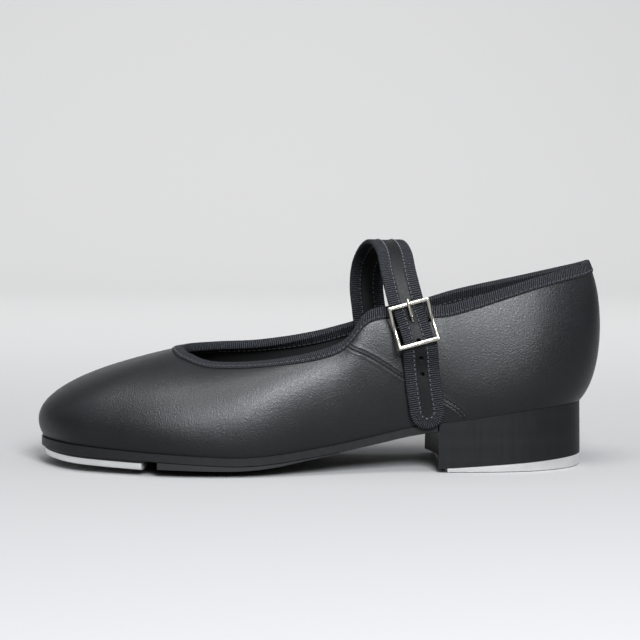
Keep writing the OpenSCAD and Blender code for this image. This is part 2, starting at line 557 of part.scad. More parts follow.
// Half width of the strap, narrower where it passes through the buckle
function half_at(a) =
    FRAME_HALF + (strap_w / 2 - FRAME_HALF) * smooth((abs(a - BAR_AT) - NARROW) / WIDEN);
function rounded_half(a, inset) = a <= TIP - TIP_R ? half_at(a) - inset
    : sqrt(max(0.05, pow(TIP_R - inset, 2) - pow(a - TIP + TIP_R, 2)));
module band(places, depths) skin([for (a = places) let (w = rounded_half(a, CORE_IN))
    [on_strap(a, w, depths[1]), on_strap(a, -w, depths[1]),
     on_strap(a, -w, depths[0]), on_strap(a, w, depths[0])]]);
FIXED = span(0, JOINT_AT - CUT, STRAP_STEPS);
TAIL = concat(span(JOINT_AT + CUT, TIP - TIP_R, TAIL_STEPS),
    [for (j = [1 : TIP_STEPS]) TIP - TIP_R + (TIP_R - CORE_IN) * sin(89 * j / TIP_STEPS)]);

// The tape's section: depth from the strap's edge, and place through its thickness
function tape_section(w) = let (i = CORE_IN - gap)
    [[w, -TAPE[1]], [0, -TAPE[1]], [0, TAPE[1]], [w, TAPE[1]],
     [w, TAPE[0]], [i, TAPE[0]], [i, -TAPE[0]], [w, -TAPE[0]]];
function tape_width(half) = strap_binding_w * half * 2 / strap_w;
// A point of the tape: e is [place along, place across, direction inwards (2)]
function on_tape(e, q) = on_strap(e[0] + e[2] * q[0], e[1] + e[3] * q[0], q[1]);
function tape_ring(e, half) = [for (q = tape_section(tape_width(half))) on_tape(e, q)];
module side_tape(side) skin([for (a = FIXED) let (
        h = half_at(a), r = tape_ring([a, side * h, 0, -side], h))
    side > 0 ? r : backwards(r)]);

HOLE_R = 1.1;
HOLE_PITCH = 7.6;
// The adjustment hole n places down from the bar
module hole(n) rod(on_strap(BAR_AT + n * HOLE_PITCH, 0, -3),
    on_strap(BAR_AT + n * HOLE_PITCH, 0, 3), HOLE_R);
// The hole that the prong stands in, worn long
SLOT = [-1.8, 1.4];
module prong_slot() at_buckle() {
    for (z = SLOT) translate([0, -STRAP_OUT, z]) rotate([90, 0, 0])
        cylinder(h = 6, r = HOLE_R, center = true, $fn = 24);
    translate([-HOLE_R, -STRAP_OUT - 3, SLOT[0]]) cube([2 * HOLE_R, 6, SLOT[1] - SLOT[0]]);
}
module strap_leather() color("#232528") placed() difference() {
    band(FIXED, STRAP_SKIN);
    prong_slot();
    hole(1);
}
module strap_lining() color("#121314") placed() difference() {
    band(FIXED, STRAP_BACK);
    prong_slot();
    hole(1);
}
module strap_binding_rear() color("#17181c") placed() side_tape(1);
module strap_binding_front() color("#17181c") placed() side_tape(-1);
module tail_leather() color("#232528") placed() difference() {
    band(TAIL, STRAP_SKIN);
    hole(2);
    hole(3);
}
module tail_lining() color("#121314") placed() difference() {
    band(TAIL, STRAP_BACK);
    hole(2);
    hole(3);
}
ARC_STEPS = 14;
module tail_binding() color("#17181c") placed() {
    down = span(JOINT_AT + CUT, TIP - TIP_R, TAIL_STEPS);
    skin(concat(
        [for (a = down) tape_ring([a, half_at(a), 0, -1], half_at(a))],
        [for (j = [1 : ARC_STEPS - 1]) let (g = 180 * j / ARC_STEPS)
            tape_ring([TIP - TIP_R + TIP_R * sin(g), TIP_R * cos(g), -sin(g), -cos(g)], TIP_R)],
        [for (a = backwards(down)) tape_ring([a, -half_at(a), 0, 1], half_at(a))]));
}

// ---- Chape: two loops round the centre bar and a tab stitched to the quarter ----
CHAPE_HALF = 4.6;
LOOP_FROM = 1.4;                    // inner edge of each loop, beside the prong
LOOP_W = CHAPE_HALF - LOOP_FROM;
TAB_PATH = [by_buckle(0, TAB_T / 2 - LOOP_R, -2.6), by_buckle(0, -1.25, -5),
    [39.9, -30.1, 56.2], [41, -30.6, 50.8]];
TAB_HALF_T = [TAB_T / 2, 0.6, 0.6, 0.6];
module chape() color("#1a1b1d") placed() {
    at_buckle() for (s = [-1, 1]) translate([s * (LOOP_FROM + LOOP_W / 2), 0, 0]) {
        difference() {
            rotate([0, 90, 0]) cylinder(h = LOOP_W, r = LOOP_R, center = true, $fn = 32);
            rotate([0, 90, 0])
                cylinder(h = LOOP_W + 1, r = bar_d / 2 + RUN, center = true, $fn = 32);
        }
        translate([-LOOP_W / 2, LOOP_R - TAB_T, -3.2]) cube([LOOP_W, TAB_T, 3.2]);
    }
    skin([for (i = [0 : 3]) let (
            d = unit(TAB_PATH[min(i + 1, 3)] - TAB_PATH[max(i - 1, 0)]),
            w = unit(BAR_S - d * (d * BAR_S)) * CHAPE_HALF, n = cross(d, unit(w)) * TAB_HALF_T[i],
            c = TAB_PATH[i])
        [c + w + n, c - w + n, c - w - n, c + w - n]]);
}

vamp();
quarter_lateral();
quarter_medial();
toe_puff();
heel_counter();
vamp_interlining();
quarter_interlining();
vamp_lining();
quarter_lining();
topline_binding();
sock_liner();
insole_board();
shank();
bottom_filler();
outsole();
forepart_patch();
tap_board();
toe_tap();
toe_tap_screws();
heel_block();
heel_nails();
heel_tap();
heel_tap_screws();
strap_leather();
strap_lining();
strap_binding_front();
strap_binding_rear();
tail_leather();
tail_lining();
tail_binding();
chape();
buckle_frame();
buckle_bar();
prong();
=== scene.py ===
"""Looks of the tap shoe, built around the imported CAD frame. All lengths are in millimetres
until a mesh is made, which scales them to metres."""
import json
import math

import bmesh
import bpy
import numpy as np
from mathutils import Matrix, Vector

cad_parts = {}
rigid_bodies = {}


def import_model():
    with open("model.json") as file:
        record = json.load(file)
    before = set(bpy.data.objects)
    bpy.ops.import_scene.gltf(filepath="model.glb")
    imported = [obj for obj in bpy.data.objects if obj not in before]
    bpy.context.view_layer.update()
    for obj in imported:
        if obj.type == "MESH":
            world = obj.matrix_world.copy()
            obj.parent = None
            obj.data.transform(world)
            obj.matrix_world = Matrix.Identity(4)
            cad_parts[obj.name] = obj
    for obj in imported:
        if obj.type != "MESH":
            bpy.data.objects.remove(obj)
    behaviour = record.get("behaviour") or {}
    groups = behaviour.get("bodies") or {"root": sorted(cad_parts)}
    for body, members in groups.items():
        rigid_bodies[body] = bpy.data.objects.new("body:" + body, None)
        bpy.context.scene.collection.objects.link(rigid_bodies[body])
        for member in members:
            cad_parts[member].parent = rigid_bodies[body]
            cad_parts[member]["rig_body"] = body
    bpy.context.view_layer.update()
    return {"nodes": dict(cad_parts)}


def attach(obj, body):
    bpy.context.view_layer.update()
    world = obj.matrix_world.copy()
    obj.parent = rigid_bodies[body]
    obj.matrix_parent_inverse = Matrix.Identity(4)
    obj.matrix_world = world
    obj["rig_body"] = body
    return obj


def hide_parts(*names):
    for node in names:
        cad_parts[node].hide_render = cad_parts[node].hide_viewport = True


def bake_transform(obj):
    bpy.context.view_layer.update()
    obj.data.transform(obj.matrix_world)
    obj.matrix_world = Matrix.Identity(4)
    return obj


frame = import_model()
NODES = frame["nodes"]
MM = 0.001
SHIFT = np.array([-0.14, 1.68, 0.0])  # the CAD source moves everything by this

# ---------------------------------------------------------------- camera
CAMERA_AZIMUTH = -3.7
CAMERA_ELEVATION = 5.6
CAMERA_ROLL = 0.62
CAMERA_DISTANCE = 900.0
CAMERA_LENS = 114.0
CAMERA_TARGET = np.array([-0.43, 0.0, 63.73]) + SHIFT


def make_camera():
    a, e = math.radians(CAMERA_AZIMUTH), math.radians(CAMERA_ELEVATION)
    back = Vector((math.sin(a) * math.cos(e), -math.cos(a) * math.cos(e), math.sin(e)))
    right = (-back).cross(Vector((0, 0, 1))).normalized()
    up = right.cross(-back)
    r = math.radians(CAMERA_ROLL)
    right, up = (
        right * math.cos(r) + up * math.sin(r),
        up * math.cos(r) - right * math.sin(r),
    )
    data = bpy.data.cameras.new("camera")
    data.lens = CAMERA_LENS
    data.sensor_width = 36.0
    data.clip_start = 0.05
    data.clip_end = 20.0
    camera = bpy.data.objects.new("camera", data)
    turn = Matrix((right, up, back)).transposed().to_4x4()
    place = (Vector(CAMERA_TARGET) + back * CAMERA_DISTANCE) * MM
    camera.matrix_world = Matrix.Translation(place) @ turn
    bpy.context.scene.collection.objects.link(camera)
    bpy.context.scene.camera = camera


make_camera()

# ---------------------------------------------------------------- the last
# From the back seam (0) to the toe tip (11): x, z, lateral y, medial y of the feather line
FEATHER = np.array([
    [116.2, 28.6, 0, 0], [110.5, 28.6, -14.5, 14.5], [92, 27.3, -25.2, 25],
    [64, 23.4, -28.8, 27], [40, 20.2, -28.4, 24], [20, 16, -30.6, 23.4],
    [-2, 12, -35, 27], [-32, 8.5, -41.2, 36.4], [-62, 9.5, -41, 38.4],
    [-90, 10.9, -34.2, 35], [-111.5, 12, -22.6, 24.2], [-122.4, 12, 1, 1]])
# The topline on both sides: x, y, z
TOP_LATERAL = np.array([
    [119, 0, 91], [114, -8.5, 89.2], [94, -17.5, 84.5],
    [58, -23.6, 73.8], [44.8, -25.2, 72], [20.2, -26.6, 70.8],
    [7, -27.4, 56.6], [-19, -25.9, 49.2], [-46, -19.3, 46.8],
    [-57.8, -10.8, 49.4], [-60.8, -4, 50.9], [-61.1, 0.8, 51.3]])
TOP_MEDIAL = np.array([
    [113.6, 8.8, 88.6], [92, 18.4, 82.6], [62, 22.6, 75.4],
    [38, 25, 67.4], [17, 26.4, 60.6], [-3, 26.6, 55.3],
    [-26, 25, 51.9], [-44, 21, 51.4], [-56.5, 12, 51.5],
    [-60.4, 5.6, 51.5]])
# How the wall leaves the feather line (out, up) and reaches the topline (out, down)
HANDLES = np.array([
    [10, 9, 9.5, 19], [8, 10, 8.5, 19], [4.5, 12, 7.5, 19],
    [3, 13, 6, 18], [2.6, 13, 6, 17], [2.6, 12, 6.5, 14],
    [3, 12, 8.5, 10], [3.6, 13, 13, 5], [4.5, 15, 16, 5],
    [6, 17, 26, 8], [9, 17, 40, 9.5], [10.5, 17.5, 45, 10]])
TOE = len(FEATHER) - 1
ROUND = 2 * TOE
UP = np.array([0.0, 0.0, 1.0])


def stations():
    rows = []
    for n in range(ROUND):
        lateral = n <= TOE
        k = n if lateral else ROUND - n
        f = FEATHER[k]
        top = TOP_LATERAL[k] if lateral else TOP_MEDIAL[k - 1]
        rows.append([f[0], f[2] if lateral else f[3], f[1], *top, *HANDLES[k]])
    return np.array(rows, float)


STATIONS = stations()


def unit(v):
    v = np.asarray(v, float)
    return v / np.linalg.norm(v, axis=-1, keepdims=True)


def catmull(a, b, c, d, t):
    return 0.5 * (2 * b + (c - a) * t + (2 * a - 5 * b + 4 * c - d) * t * t
                  + (3 * b - a - 3 * c + d) * t * t * t)


def row(u):
    u = np.asarray(u, float)
    i = np.floor(u).astype(int)
    t = (u - i)[..., None]
    return catmull(*(STATIONS[(i + k) % ROUND] for k in (-1, 0, 1, 2)), t)


def feather(u):
    return row(u)[..., :3]


def outward(u):
    u = np.asarray(u, float)
    d = feather(u + 0.05) - feather(u - 0.05)
    return unit(np.stack([-d[..., 1], d[..., 0], 0 * d[..., 0]], -1))


def profile(u):
    r = row(u)
    f, top, h = r[..., :3], r[..., 3:6], r[..., 6:]
    level = (f - top) * [1, 1, 0]
    side = unit(level + 10 * outward(u))
    return (f, f + side * h[..., 0:1] + UP * h[..., 1:2],
            top + side * h[..., 2:3] - UP * h[..., 3:4], top)


def bezier(p, v):
    v = np.asarray(v, float)[..., None]
    return (p[0] * (1 - v) ** 3 + p[1] * 3 * v * (1 - v) ** 2
            + p[2] * 3 * v * v * (1 - v) + p[3] * v ** 3)


def bezier_slope(p, v):
    v = np.asarray(v, float)[..., None]
    return ((p[1] - p[0]) * (1 - v) ** 2 + (p[2] - p[1]) * 2 * v * (1 - v)
            + (p[3] - p[2]) * v * v)


def wall_normal(u, v):
    along = bezier(profile(u + 0.05), v) - bezier(profile(u - 0.05), v)
    return unit(np.cross(bezier_slope(profile(u), v), along))


def wall(u, v, t=0.0):
    """A point of the upper at station u and height v, moved by t along the normal."""
    u, v, t = np.broadcast_arrays(*(np.asarray(x, float) for x in (u, v, t)))
    return bezier(profile(u), v) + t[..., None] * wall_normal(u, v)


SEAM_FOOT = 3.13
SEAM_TOP = 5.85


def smooth(f):
    t = np.clip(f, 0, 1)
    return t * t * (3 - 2 * t)


def seam(v):
    return SEAM_FOOT + (SEAM_TOP - SEAM_FOOT) * smooth(v)


def seam_at(side, v):
    """Station of the lateral seam (side 1) or the medial seam (side -1) at a height."""
    return seam(v) if side > 0 else ROUND - seam(v)


def rim(u, inset, h=0.0):
    return feather(u) - outward(u) * inset + UP * np.asarray(h, float)[..., None]


# ---------------------------------------------------------------- buckle and strap
BUCKLE = np.array([37.8, -30.2, 64.9])
LEAN = math.radians(-10)
TURN = math.radians(-15.5)
BAR_S = np.array([math.cos(TURN), 0, -math.sin(TURN)])
BAR_UP = np.array([math.cos(LEAN) * math.sin(TURN), -math.sin(LEAN),
                   math.cos(LEAN) * math.cos(TURN)])
BAR_OUT = np.array([-math.sin(LEAN) * math.sin(TURN), -math.cos(LEAN),
                    -math.sin(LEAN) * math.cos(TURN)])
STRAP_W = 15.4
STRAP_T = 1.86
BAR_R = 0.8
LOOP_R = BAR_R + 0.07 + 0.7
STRAP_OUT = LOOP_R + 0.28 + STRAP_T / 2
JOINT_DOWN = 10.9
STRAP_ASIDE = 0.6
FRAME_HALF = 6.5
NARROW = 7
WIDEN = 2.5


def by_buckle(s, out, up):
    return BUCKLE + BAR_S * s + BAR_OUT * out + BAR_UP * up


STRAP_PATH = np.array([
    [24.8, 21.6, 50], [24.2, 21.8, 58.5], [23.2, 23.2, 67], [22.2, 24.6, 77],
    [22.9, 22.3, 87], [25.6, 13.5, 95.4], [28.4, 0, 98.8], [30.6, -14.5, 95.4],
    [31.8, -25.6, 86.4], by_buckle(-STRAP_ASIDE, STRAP_OUT, 10),
    by_buckle(0, STRAP_OUT, 0), by_buckle(0, STRAP_OUT, -10),
    [41.5, -31.9, 46.6], [42.7, -31.6, 37.6], [44.2, -31.2, 28.6], [45.6, -31, 19.6]])
PATH_END = len(STRAP_PATH) - 1
AT_BAR = 10
PATH_LONG = np.vstack([2 * STRAP_PATH[0] - STRAP_PATH[1], STRAP_PATH,
                       2 * STRAP_PATH[-1] - STRAP_PATH[-2]])
PATH_FINE = 12


def path(k):
    k = np.asarray(k, float)
    i = np.clip(np.floor(k).astype(int), 0, PATH_END - 1)
    t = (k - i)[..., None]
    return catmull(*(PATH_LONG[i + j] for j in range(4)), t)


ARC_K = np.arange(PATH_END * PATH_FINE + 1) / PATH_FINE
ARC = np.concatenate([[0], np.cumsum(np.linalg.norm(np.diff(path(ARC_K), axis=0), axis=1))])
TIP = ARC[-1]
BAR_AT = ARC[AT_BAR * PATH_FINE]
JOINT_AT = BAR_AT + JOINT_DOWN
TIP_R = STRAP_W / 2


def on_strap(a, x, n):
    """A point of the strap: a along it, x across it towards the heel, n outward."""
    a, x, n = np.broadcast_arrays(*(np.asarray(q, float) for q in (a, x, n)))
    k = np.interp(a, ARC, ARC_K)
    t = unit(path(k + 0.02) - path(k - 0.02))
    w = unit(np.array([1.0, 0, 0]) - t * t[..., 0:1])
    return path(k) + w * x[..., None] + np.cross(t, w) * n[..., None]


def half_at(a):
    wide = smooth((np.abs(a - BAR_AT) - NARROW) / WIDEN)
    return FRAME_HALF + (STRAP_W / 2 - FRAME_HALF) * wide

# ---------------------------------------------------------------- node helpers


class Shader:
    """A small wrapper that adds nodes and links them in one line."""

    def __init__(self, name, **inputs):
        self.material = bpy.data.materials.new(name)
        self.material.use_nodes = True
        self.tree = self.material.node_tree
        self.bsdf = self.tree.nodes["Principled BSDF"]
        for key, value in inputs.items():
            self.bsdf.inputs[key.replace("_", " ")].default_value = value

    def add(self, kind, settings=None, **inputs):
        node = self.tree.nodes.new("ShaderNode" + kind)
        for key, value in (settings or {}).items():
            setattr(node, key, value)
        for key, value in inputs.items():
            socket = node.inputs[int(key[1:])] if key[0] == "_" else node.inputs[key]
            if isinstance(value, bpy.types.NodeSocket):
                self.tree.links.new(value, socket)
            else:
                socket.default_value = value
        return node

    def place(self, name="Object"):
        return self.add("TexCoord").outputs[name]

    def stretched(self, source, scale):
        return self.add("Mapping", Vector=source, Scale=scale).outputs["Vector"]

    def noise(self, source, scale, detail=3.0, roughness=0.5):
        node = self.add("TexNoise", Vector=source, Scale=scale, Detail=detail,
                        Roughness=roughness)
        return node.outputs["Fac"]

    def cells(self, source, scale, randomness):
        node = self.add("TexVoronoi", {"feature": "F1"}, Vector=source, Scale=scale,
                        Randomness=randomness)
        return node.outputs["Distance"]

    def math(self, operation, a, b=0.0):
        return self.add("Math", {"operation": operation}, _0=a, _1=b).outputs[0]

    def span(self, value, low, high, to_low, to_high):
        node = self.add("MapRange", _0=value, _1=low, _2=high, _3=to_low, _4=to_high)
        return node.outputs[0]

    def colour(self, factor, *stops):
        node = self.add("ValToRGB", Fac=factor)
        ramp = node.color_ramp
        for i, (at, rgb) in enumerate(stops):
            stop = ramp.elements[i] if i < 2 else ramp.elements.new(at)
            stop.position = at
            stop.color = (*rgb, 1)
        return node.outputs["Color"]

    def link(self, output, name):
        self.tree.links.new(output, self.bsdf.inputs[name])

    def bump(self, height, distance, strength=1.0, base=None):
        node = self.add("Bump", Height=height, Distance=distance * MM, Strength=strength)
        if base is not None:
            self.tree.links.new(base, node.inputs["Normal"])
        self.link(node.outputs["Normal"], "Normal")
        return node.outputs["Normal"]


# ---------------------------------------------------------------- materials
RIB_PITCH = 0.95        # ribs of the grosgrain, along the tape
WEFT_PITCH = 0.45       # threads of the grosgrain, across the tape
SOLE_RIB_PITCH = 1.35   # ribs of the half sole's underside
FULL_TURN = 2 * math.pi


def leather_material(name, dark, light, rough, shine=0.27, coat=0.03):
    """Smooth black leather: fine cells, broad tone changes and a soft sheen."""
    s = Shader(name, Roughness=rough, Specular_IOR_Level=shine, Coat_Weight=coat,
               Coat_Roughness=0.3)
    here = s.place()
    broad = s.noise(here, 38, 3)
    fine = s.noise(here, 2300, 2, 0.6)
    pores = s.cells(here, 1700, randomness=0.9)
    tone = s.math("ADD", s.math("MULTIPLY", broad, 0.6), s.math("MULTIPLY", fine, 0.4))
    s.link(s.colour(tone, (0.3, dark), (0.7, light)), "Base Color")
    s.link(s.span(s.noise(here, 1900, 2), 0.3, 0.7, rough - 0.12, rough + 0.1), "Roughness")
    first = s.bump(s.noise(here, 60, 2), 0.25, 0.35)
    second = s.bump(pores, 0.09, 0.8, first)
    s.bump(fine, 0.11, 0.9, second)
    return s.material


def tape_material(name):
    """Grosgrain: round ribs across the tape; U runs along it in millimetres."""
    s = Shader(name, Roughness=0.62, Specular_IOR_Level=0.12)
    uv = s.place("UV")
    split = s.add("SeparateXYZ", Vector=uv)
    wobble = s.math("MULTIPLY", s.noise(s.stretched(uv, (0.8, 2.5, 1)), 1.0, 2), 0.8)
    along = s.math("ADD", split.outputs["X"], wobble)
    turn = s.math("MULTIPLY", along, FULL_TURN / RIB_PITCH)
    rib = s.span(s.math("SINE", turn), -1, 1, 0, 1)
    yarn = s.noise(s.stretched(uv, (2.2, 5.5, 1)), 1.0, 3, 0.65)
    cross = s.math("MULTIPLY", split.outputs["Y"], FULL_TURN / WEFT_PITCH)
    weft = s.span(s.math("SINE", cross), -1, 1, 0, 1)
    # Base colour: the yarn noise gives random tone, but the rib wave makes the gaps between
    # ribs near black and the rib tops lighter, which is painted shade in the gaps and painted
    # highlight on the tops.
    tone = s.math("MULTIPLY", rib, s.span(yarn, 0.3, 0.7, 0.1, 1.25))
    s.link(s.colour(tone, (0.0, (0.0006, 0.0007, 0.0009)), (0.45, (0.0037, 0.0041, 0.0055)),
                    (0.95, (0.0510, 0.0546, 0.0640))), "Base Color")
    s.link(s.span(rib, 0, 1, 0.85, 0.5), "Roughness")
    height = s.math("ADD", rib, s.math("ADD", s.math("MULTIPLY", yarn, 0.5),
                                       s.math("MULTIPLY", weft, 0.2)))
    s.bump(height, 0.22, 0.9)
    return s.material


def metal_material(name, tint, rough, brushed=0.0, clouds=0.05):
    s = Shader(name, Metallic=1.0, Roughness=rough)
    here = s.place()
    broad = s.noise(here, 120, 3)
    s.link(s.colour(broad, (0.25, tuple(0.9 * c for c in tint)), (0.75, tint)), "Base Color")
    fine = s.noise(s.stretched(here, (1, 1, 1 + 14 * brushed)), 900, 3, 0.6)
    s.link(s.span(fine, 0.25, 0.75, rough - clouds, rough + clouds), "Roughness")
    s.bump(fine, 0.02, 0.5)
    return s.material


def plain_material(name, low, high, rough, scale=200, depth=0.05, strength=0.5, **inputs):
    s = Shader(name, Roughness=rough, **inputs)
    here = s.place()
    tone = s.noise(here, scale, 4, 0.6)
    s.link(s.colour(tone, (0.3, low), (0.7, high)), "Base Color")
    s.link(s.span(s.noise(here, scale * 3, 2), 0.3, 0.7, rough - 0.06, rough + 0.06),
           "Roughness")
    s.bump(tone, depth, strength)
    return s.material


def rubber_material():
    """Rubber with fine diagonal ribs on its underside."""
    s = Shader("ribbed_rubber", Roughness=0.6, Specular_IOR_Level=0.35)
    here = s.place()
    split = s.add("SeparateXYZ", Vector=here)
    slant = s.math("ADD", split.outputs["X"], s.math("MULTIPLY", split.outputs["Y"], 0.62))
    turn = s.math("MULTIPLY", slant, FULL_TURN / (SOLE_RIB_PITCH * MM))
    rib = s.span(s.math("SINE", turn), -0.6, 0.6, 0, 1)
    normal = s.add("SeparateXYZ", Vector=s.place("Normal")).outputs["Z"]
    under = s.span(normal, -0.55, -0.85, 0, 1)
    fine = s.noise(here, 1500, 2)
    height = s.math("ADD", s.math("MULTIPLY", rib, under), s.math("MULTIPLY", fine, 0.12))
    # Base colour follows the ribs on the underside: lighter on the crests and darker in the
    # grooves, which is painted shade in the grooves.
    s.link(s.colour(s.math("MULTIPLY", rib, under), (0.0, (0.0030, 0.0031, 0.0032)),
                    (1.0, (0.0066, 0.0068, 0.0072))), "Base Color")
    s.bump(height, 0.35, 0.8)
    return s.material


def heel_material():
    """Black lacquered heel: layers just visible through a satin finish."""
    s = Shader("heel_lacquer", Roughness=0.5, Specular_IOR_Level=0.17)
    here = s.place()
    layers = s.noise(s.stretched(here, (14, 14, 420)), 1.0, 3)
    grain = s.noise(s.stretched(here, (900, 900, 60)), 1.0, 2)
    s.link(s.colour(layers, (0.3, (0.0027, 0.0028, 0.0031)), (0.7, (0.0041, 0.0043, 0.0047))),
           "Base Color")
    s.link(s.span(grain, 0.3, 0.7, 0.44, 0.56), "Roughness")
    s.bump(s.math("ADD", s.math("MULTIPLY", layers, 0.7), grain), 0.03, 0.5)
    return s.material


LEATHER = leather_material("upper_leather", (0.0018, 0.0020, 0.0023),
                           (0.0034, 0.0037, 0.0043), 0.39)
STRAP_LEATHER = leather_material("strap_leather_look", (0.0020, 0.0022, 0.0026),
                                 (0.0038, 0.0041, 0.0047), 0.5, shine=0.14, coat=0.0)
LINING = plain_material("lining_look", (0.0013, 0.0014, 0.0016), (0.0028, 0.0029, 0.0033),
                        0.8, scale=1400, depth=0.05, strength=0.5, Specular_IOR_Level=0.3)
SOCK = plain_material("sock_look", (0.0027, 0.0028, 0.0030), (0.0054, 0.0055, 0.0060), 0.75,
                      scale=700, depth=0.05, strength=0.5)
TAPE = tape_material("grosgrain")
THREAD = plain_material("thread_look", (0.0210, 0.0222, 0.0264), (0.0540, 0.0564, 0.0660), 0.5,
                        scale=3000, depth=0.04, Sheen_Weight=0.2)
DARK_THREAD = plain_material("dark_thread_look", (0.0018, 0.0019, 0.0024),
                             (0.0072, 0.0075, 0.0090), 0.55, scale=3000, depth=0.04,
                             Sheen_Weight=0.2)
NICKEL = metal_material("nickel", (0.50, 0.475, 0.42), 0.17, clouds=0.06)
TAP_METAL = metal_material("tap_alloy", (0.83, 0.835, 0.82), 0.36, clouds=0.08)
SCREW_METAL = metal_material("screw_steel", (0.66, 0.65, 0.62), 0.28, clouds=0.06)
SHANK_METAL = metal_material("shank_steel", (0.45, 0.46, 0.48), 0.3, brushed=1.0)
RUBBER = rubber_material()
HEEL = heel_material()
SOLE = plain_material("sole_edge", (0.0039, 0.0040, 0.0043), (0.0063, 0.0065, 0.0069), 0.46,
                      scale=320, depth=0.06, strength=0.45, Specular_IOR_Level=0.24)
TAP_BOARD = plain_material("tap_board_look", (0.0016, 0.0016, 0.0017), (0.0030, 0.0030, 0.0032),
                           0.6, scale=500)
BOARD = plain_material("insole_fibre", (0.30, 0.23, 0.15), (0.42, 0.33, 0.22), 0.85, scale=600)
CORK = plain_material("filler_cork", (0.20, 0.12, 0.06), (0.38, 0.25, 0.14), 0.9, scale=500,
                      depth=0.2)
STIFFENER = plain_material("stiffener_sheet", (0.42, 0.36, 0.27), (0.52, 0.46, 0.36), 0.7,
                           scale=400)
COTTON = plain_material("interlining_cotton", (0.48, 0.46, 0.42), (0.62, 0.60, 0.55), 0.9,
                        scale=1600, depth=0.1)

# ---------------------------------------------------------------- mesh helpers


def make_object(name, points, faces, material, uv=None, body="shoe",
                sharp=40, replaces=()):
    """A mesh object from points in millimetres; uv is one pair for each point."""
    mesh = bpy.data.meshes.new(name)
    points = (np.asarray(points, float).reshape(-1, 3) + SHIFT) * MM
    mesh.from_pydata(points.tolist(), [], [tuple(int(i) for i in f) for f in faces])
    if uv is not None:
        uv = np.asarray(uv, float).reshape(-1, 2)
        layer = mesh.uv_layers.new(name="UVMap")
        index = np.zeros(len(mesh.loops), int)
        mesh.loops.foreach_get("vertex_index", index)
        layer.data.foreach_set("uv", uv[index].astype(np.float32).ravel())
    mesh.polygons.foreach_set("use_smooth", [True] * len(mesh.polygons))
    mesh.validate()
    mesh.update()
    mesh.set_sharp_from_angle(angle=math.radians(sharp))
    mesh.materials.append(material)
    obj = bpy.data.objects.new(name, mesh)
    bpy.context.scene.collection.objects.link(obj)
    if body:
        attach(obj, body)
    for node in replaces:
        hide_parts(node)
    return obj


def grid_faces(n, m, close_m=False, flip=False):
    i, j = np.meshgrid(np.arange(n - 1), np.arange(m if close_m else m - 1), indexing="ij")
    a, b = i * m + j, (i + 1) * m + j
    c, d = (i + 1) * m + (j + 1) % m, i * m + (j + 1) % m
    quads = np.stack([a, b, c, d], -1).reshape(-1, 4)
    return quads[:, ::-1] if flip else quads


def end_caps(n, m):
    """Caps for a lofted tube of n sections with m points each."""
    return [list(range(m))[::-1], [(n - 1) * m + j for j in range(m)]]


def lengths(points, axis=0):
    """Running length along an array of points."""
    step = np.linalg.norm(np.diff(points, axis=axis), axis=-1)
    zero = np.zeros_like(np.take(step, [0], axis=axis))
    return np.concatenate([zero, np.cumsum(step, axis=axis)], axis=axis)


def fix_normals(obj):
    b = bmesh.new()
    b.from_mesh(obj.data)
    bmesh.ops.recalc_face_normals(b, faces=b.faces)
    b.to_mesh(obj.data)
    b.free()


STITCH_SECTIONS = 7
STITCH_SIDES = 6
STITCH_SINK = 0.3       # how much of a stitch's radius is below the surface


def stitches(line, normal, pitch, length, radius):
    """Separate raised stitches along a line: line and normal are arrays of points and
    directions in millimetres. Returns the points and faces of all of them."""
    run = lengths(line)
    count = max(1, int(run[-1] / pitch))
    places = (np.arange(count) + 0.5) * run[-1] / count
    sections, sides = STITCH_SECTIONS, STITCH_SIDES
    points, faces = [], []
    for p in places:
        s = p + np.linspace(-0.5, 0.5, sections) * length
        c = np.stack([np.interp(s, run, line[:, k]) for k in range(3)], -1)
        n = unit(np.stack([np.interp(s, run, normal[:, k]) for k in range(3)], -1))
        t = unit(np.gradient(c, axis=0))
        w = unit(np.cross(t, n))
        f = np.linspace(-1, 1, sections)
        lift = radius * (1 - STITCH_SINK) - radius * 1.5 * f ** 4
        r = radius * np.sqrt(np.clip(1 - 0.85 * f ** 6, 0.05, 1))
        start = len(points)
        for k in range(sections):
            for a in np.linspace(0, FULL_TURN, sides, endpoint=False):
                points.append(c[k] + n[k] * (lift[k] + r[k] * 0.8 * math.cos(a))
                              + w[k] * r[k] * math.sin(a))
        faces += (grid_faces(sections, sides, close_m=True) + start).tolist()
        faces += [[start + i for i in f_] for f_ in end_caps(sections, sides)]
    return points, faces


def apply_modifiers(obj):
    bpy.context.view_layer.update()
    evaluated = obj.evaluated_get(bpy.context.evaluated_depsgraph_get())
    mesh = bpy.data.meshes.new_from_object(evaluated)
    obj.modifiers.clear()
    obj.data = mesh


def join_parts(parts):
    points, faces = [], []
    for p, f in parts:
        start = len(points)
        points += list(p)
        faces += [[start + i for i in g] for g in f]
    return points, faces


# ---------------------------------------------------------------- upper
LEATHER_T = 1.2
LINING_OUT = 2.1
LINING_IN = 2.9
TAPE_T = 0.45
GAP = 0.05
RIDGE = 0.3             # height of the closed side seam
STITCH_OFF = 0.75       # stitch rows, each side of the seam


def seam_reach(side, v):
    """Stations for each millimetre away from the seam, square to it."""
    u = seam_at(side, v)
    dv = 0.01
    ahead, behind = np.clip(v + dv, 0, 1), np.clip(v - dv, 0, 1)
    tangent = unit(wall(seam_at(side, ahead), ahead) - wall(seam_at(side, behind), behind))
    across = (wall(u + 0.02, v) - wall(u - 0.02, v)) / 0.04
    square = across - tangent * (across * tangent).sum(-1, keepdims=True)
    return 1 / np.linalg.norm(square, axis=-1)


def seam_lift(d):
    """Height of the leather at a distance d from the seam: a ridge between two rows
    of stitches that pull the leather down."""
    return (RIDGE * np.exp(-(d / 0.38) ** 2)
            - 0.24 * np.exp(-((np.abs(d) - STITCH_OFF) / 0.24) ** 2)
            + 0.10 * np.exp(-((np.abs(d) - 1.5) / 0.5) ** 2))


